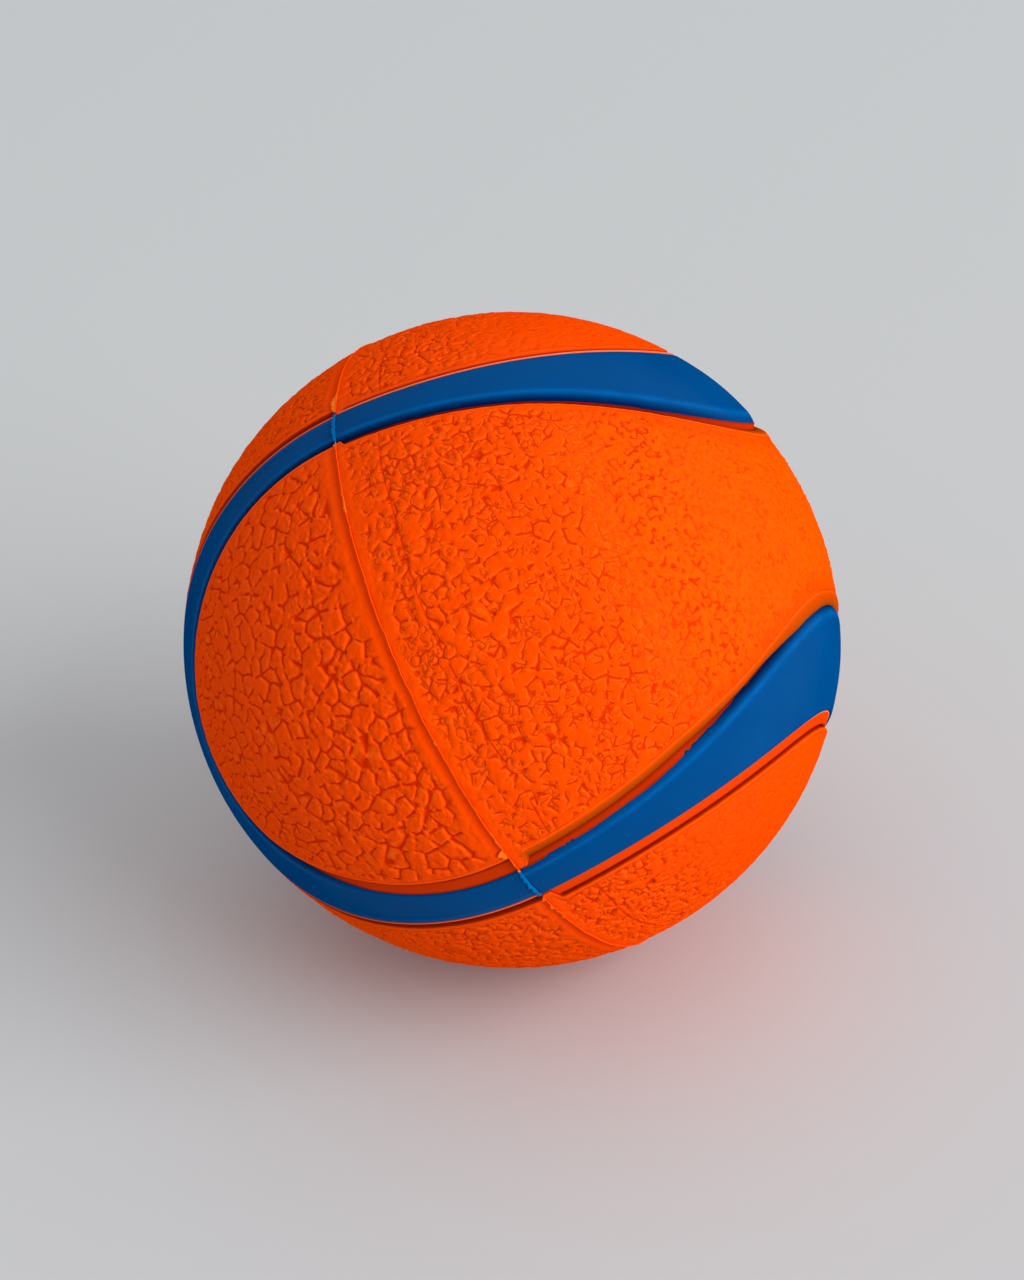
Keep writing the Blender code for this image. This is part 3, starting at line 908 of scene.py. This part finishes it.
def band_section(t, side, crescent, seed):
    """From the top's middle to the bottom's middle: distances, depths, painted highlight and shade.
    """
    width = half_width(t, side)[:, None]
    border_down = lip(t, side, crescent)[0][:, :1, 1]
    low = np.clip((border_down - BORDER_ABOVE) / (BORDER_BELOW - BORDER_ABOVE), 0, 1)
    high_lip, low_lip = np.array(SHOULDERS[side])
    points = high_lip + (low_lip - high_lip) * low[:, :, None]
    inside, down, crest, low_side = (points[:, :, column] for column in range(4))
    reach = NARROW_SHOULDER + (1 - NARROW_SHOULDER) * np.sin(2 * t[:, None]) ** 2
    wave = (RAGGED.get(crescent, SLIGHTLY_RAGGED) if side > 0 else 0) * ragged(t, seed)
    border = width + BAND_OVERHANG
    shoulder = border - inside * reach * MM + wave[:, None] * np.array(FOLLOWS_RAGGED_BORDER)
    middle = np.arange(TOP_STEPS) / TOP_STEPS
    top = shoulder[:, :1] * middle
    level = np.ones_like(width)
    across = [top, shoulder, border - BAND_UNDERCUT, 0 * width]
    depth = [CROWN * middle**2 * level, down * MM, BAND_THICKNESS * level, BAND_THICKNESS * level]
    under = np.zeros((len(t), 2))
    crest = np.hstack([0 * top, crest, under])
    low_side = np.hstack([0 * top, low_side, under + 1])
    depth = np.hstack(depth) + SKIN_DEPTH
    return side * np.hstack(across), depth, crest, low_side


t = np.linspace(0, pi / 2, BAND_STEPS + 1)
for seed, (crescent, (half, turn)) in enumerate(CRESCENTS.items()):
    neck_side = band_section(t, 1, crescent, seed)
    lobe_side = band_section(t, -1, crescent, seed)
    across, depth, crest, low_side = (
        np.hstack([neck, lobe[:, -2:0:-1]])[:, ::-1] for neck, lobe in zip(neck_side, lobe_side)
    )
    points = beside_seam(t, across, depth) @ turn
    marks = {"crest": crest, "low_side": low_side}
    band = solid("band_" + crescent, points, half, satin_blue, marks)
    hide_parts("inlay_" + crescent)
    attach(band, "root")


# The flash: where the two halves of the mould met, rubber crept into the joint. It was trimmed off,
# and what is left is a thin wavy ridge round the ball, with torn leaves where the knife missed.
FLASH = {"height": 0.09 * MM, "half_width": 0.05 * MM, "wander": 0.45 * MM, "step": 0.12 * MM}
FLASH_START = BAND_AT_PARTING / 2 + 0.25 * MM
FLASH_SIDES = 10
FLASH_ROOT = 0.04 * MM  # how far below the skin its middle runs
QUARTER_STEPS = 90


def flash_tree():
    """The node group that lays an uneven fin along the edges of a mesh in the parting plane."""
    floats = dict.fromkeys(("Height", "Half Width", "Wander", "Step", "Seed"), "Float")
    inputs = {"Path": "Geometry", **floats, "Rubber": "Material"}
    tree, given = new_group("trimmed flash", inputs, "Flash")
    place = add(tree, "GeometryNodeInputPosition").outputs[0]

    def uneven(size, detail, shift):
        inputs = {"Vector": place, "W": maths(tree, "ADD", given["Seed"], shift)}
        inputs |= {"Scale": 1 / size, "Detail": detail}
        return add(tree, "ShaderNodeTexNoise", inputs, noise_dimensions="4D").outputs["Fac"]

    curve = passed(tree, given["Path"], "MeshToCurve")
    curve = passed(tree, curve, "ResampleCurve", {"Length": given["Step"]}, mode="LENGTH")
    aside = maths(tree, "SUBTRACT", uneven(2.2 * MM, 2.0, 0.0), 0.5)
    aside = {"Z": maths(tree, "MULTIPLY", aside, given["Wander"])}
    offset = add(tree, "ShaderNodeCombineXYZ", aside).outputs[0]
    curve = passed(tree, curve, "SetPosition", {"Offset": offset})
    curve = passed(tree, curve, "SetCurveNormal", mode="Z_UP")
    radius = ramp(tree, uneven(1.4 * MM, 3.0, 7.0), 0.42, 0.68, 0.08, 1.5, "LINEAR")
    curve = passed(tree, curve, "SetCurveRadius", {"Radius": radius})
    circle = {"Resolution": FLASH_SIDES, "Radius": 1.0}
    circle = add(tree, "GeometryNodeCurvePrimitiveCircle", circle).outputs[0]
    scale = {"X": given["Height"], "Y": given["Half Width"], "Z": 1.0}
    scale = add(tree, "ShaderNodeCombineXYZ", scale).outputs[0]
    oval = passed(tree, circle, "Transform", {"Scale": scale})
    swept = passed(tree, curve, "CurveToMesh", {"Profile Curve": oval, "Fill Caps": True})
    give_out(tree, swept, given["Rubber"], "Flash")
    return tree


def torn_rubber(name, colour, torn_colour):
    """The material of trimmed flash. A knife leaves no skin on it: it is paler where it is torn."""
    material, tree, shader = new_material(name)
    shade = mix(tree, noise(tree, 0.5 * MM, 3.0), colour, torn_colour)
    tree.links.new(shade, shader.inputs["Base Color"])
    shader.inputs["Roughness"].default_value = RUBBER_ROUGHNESS
    satin(tree, shader, torn_colour)
    return material


ridge_rubber = torn_rubber("natural rubber, trimmed flash", "#FA4600", "#FF5C08")
leaf_rubber = torn_rubber("natural rubber, torn thin", "#FF5E08", "#FF8424")
fin_rubber = torn_rubber("blue rubber, torn thin", "#005898", "#006CB0")

start = FLASH_START / BALL_RADIUS
mesh = bpy.data.meshes.new("parting_flash")
ridge_points, ridge_edges = [], []
for quarter in range(4):
    first = len(ridge_points)
    ends = quarter * pi / 2 + start, (quarter + 1) * pi / 2 - start
    azimuth = np.linspace(*ends, QUARTER_STEPS + 1)
    ridge_points += polar(SKIN_RADIUS - FLASH_ROOT, azimuth, 0).tolist()
    ridge_edges += [(first + i, first + i + 1) for i in range(QUARTER_STEPS)]
mesh.from_pydata(ridge_points, ridge_edges, [])
ridge = new_object("parting_flash", mesh)
through_nodes(ridge, flash_tree(), **FLASH, seed=3.0, rubber=ridge_rubber)
ridge.data.transform(MOULD.to_4x4())
ridge.data.shade_smooth()
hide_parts("front_shell", "back_shell")
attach(ridge, "root")

# The leaves: where each starts, in degrees round the parting plane, how long it is, its greatest
# height and how far it leans over, in mm. The fins do the same on the band, one at each crossing.
LEAVES = (
    (80.6, 3.1, 0.2, 0.55), (94.0, 0.45, 0.14, 0.3), (103.2, 2.4, 0.12, 0.16),
    (107.3, 0.8, 0.16, 0.26), (98.6, 0.4, 0.1, 0.1), (121.0, 0.5, 0.1, 0.12),
    (149.0, 0.6, 0.1, 0.16), (167.2, 2.3, 0.12, 0.14), (171.0, 1.25, 0.2, 0.85),
    (173.6, 1.6, 0.12, 0.12), (176.0, 0.4, 0.14, 0.2), (184.0, 0.6, 0.14, 0.3),
    (186.4, 0.9, 0.16, 0.3), (188.6, 0.4, 0.1, 0.2), (190.6, 0.5, 0.12, 0.2),
    (38.0, 0.8, 0.14, 0.2), (12.5, 0.7, 0.16, 0.3), (55.5, 0.4, 0.1, 0.12),
    (212.0, 0.6, 0.12, 0.2), (239.0, 0.9, 0.14, 0.26), (262.5, 0.7, 0.16, 0.4),
    (277.0, 1.2, 0.18, 0.4), (301.0, 0.5, 0.12, 0.16), (334.0, 0.8, 0.12, 0.2),
    (348.5, 0.6, 0.16, 0.3),
)
FINS = (
    (86.4, 4.1, 0.26, 0.34), (176.5, 4.0, 0.28, 0.4), (-3.5, 4.0, 0.26, 0.32),
    (266.4, 4.0, 0.26, 0.36),
)
LEAF_THICKNESS = 0.07 * MM
LEAF_ROOT = 0.07 * MM  # how far it is rooted below the skin
LEAF_STEP = 0.14  # mm
LEAF_FLOOR = 0.02  # a leaf's least height, as a share of its greatest
LEAF_LAYERS = (0.0, 1.3), (0.5, 1.0), (1.0, 0.5)  # shares of its height and of its thickness


def torn_leaves(name, leaves, bluntness, material, nodes):
    """One piece of thin leaves that stand on the parting plane and lean towards the back half."""
    random = np.random.default_rng(11)
    parts = []
    for degrees, length, rise, lean in leaves:
        share = np.linspace(0, 1, max(9, round(length / LEAF_STEP)))
        torn_edge = np.sin(pi * share) ** bluntness * random.uniform(0.55, 1.0, len(share))
        torn_edge += LEAF_FLOOR
        azimuth = radians(degrees) + share * length * MM / BALL_RADIUS
        faces = {-0.5: [], 0.5: []}
        for height, thickness in LEAF_LAYERS:
            radius = SKIN_RADIUS - LEAF_ROOT + rise * MM * torn_edge * sin(height * pi / 2)
            for face, lines in faces.items():
                z = face * thickness * LEAF_THICKNESS - lean * MM * torn_edge * height**1.5
                lines.append(polar(radius, azimuth, z))
        loop = np.stack(faces[-0.5] + faces[0.5][::-1], axis=1)[:, ::-1]
        parts.append(solid(name, loop, "front", material))
    with bpy.context.temp_override(active_object=parts[0], selected_editable_objects=parts):
        bpy.ops.object.join()
    piece = parts[0]
    piece.name = name
    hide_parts(*nodes)
    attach(piece, "root")


shells = "front_shell", "back_shell"
torn_leaves("torn_flash", LEAVES, 0.6, leaf_rubber, shells)
inlays = ["inlay_" + crescent for crescent in CRESCENTS]
torn_leaves("band_fins", FINS, 0.25, fin_rubber, inlays)


# The stage: a plain pale floor and soft lights. The camera looks at the ball from the height and
# the distance of the photograph.
FLOOR_HALF_SIDE = 6
CAMERA_DISTANCE = 9 * BALL_RADIUS
CAMERA_AZIMUTH = radians(5.7)
CAMERA_ELEVATION = radians(33.3)
CAMERA_ROLL = radians(-5.4)
CAMERA_LENS, CAMERA_SENSOR = 83, 36  # mm
ROOM_BRIGHTNESS = 0.6

# Matt paint, rolled on: it scatters all the light, so the floor shows nothing but soft shadows.
floor_paint, _, shader = new_material("plain pale floor, matt paint")
shader.inputs["Base Color"].default_value = rgb("#CBCDCE")
shader.inputs["Roughness"].default_value = 0.9

floor_mesh = bpy.data.meshes.new("floor")
side = FLOOR_HALF_SIDE
corners = [(-side, -side), (side, -side), (side, side), (-side, side)]
floor_mesh.from_pydata([(x, y, cad_box[0].z) for x, y in corners], [], [(0, 1, 2, 3)])
floor_mesh.materials.append(floor_paint)
floor = new_object("floor", floor_mesh)

level = cos(CAMERA_ELEVATION)
back = Vector((sin(CAMERA_AZIMUTH) * level, -cos(CAMERA_AZIMUTH) * level, sin(CAMERA_ELEVATION)))
turn = (-back).to_track_quat("-Z", "Y").to_matrix() @ Matrix.Rotation(CAMERA_ROLL, 3, "Z")
camera = new_object("camera", bpy.data.cameras.new("camera"))
camera.matrix_world = Matrix.Translation(back * CAMERA_DISTANCE) @ turn.to_4x4()
camera.data.lens = CAMERA_LENS
camera.data.sensor_width = CAMERA_SENSOR
camera.data.clip_start = 0.01
bpy.context.scene.camera = camera


def soft_light(name, direction, distance, size, watts):
    """A square lamp that faces the ball from a direction in the camera's frame."""
    lamp = bpy.data.lights.new(name, "AREA")
    lamp.shape = "SQUARE"
    lamp.size = size
    lamp.energy = watts
    from_ball = (turn @ Vector(direction)).normalized()
    facing = (-from_ball).to_track_quat("-Z", "Y").to_matrix().to_4x4()
    new_object(name, lamp).matrix_world = Matrix.Translation(from_ball * distance) @ facing


soft_light("window", (0.75, 0.15, 0.64), 2.7, 2.4, 77)
soft_light("sky", (0.1, 1.0, 0.5), 3.0, 3.6, 7.2)

world = bpy.data.worlds.new("even room")
bpy.context.scene.world = world
world.use_nodes = True
background = world.node_tree.nodes["Background"].inputs
background["Color"].default_value = rgb("#F4F6F8")
background["Strength"].default_value = ROOM_BRIGHTNESS

bpy.context.scene.view_settings.view_transform = "Standard"
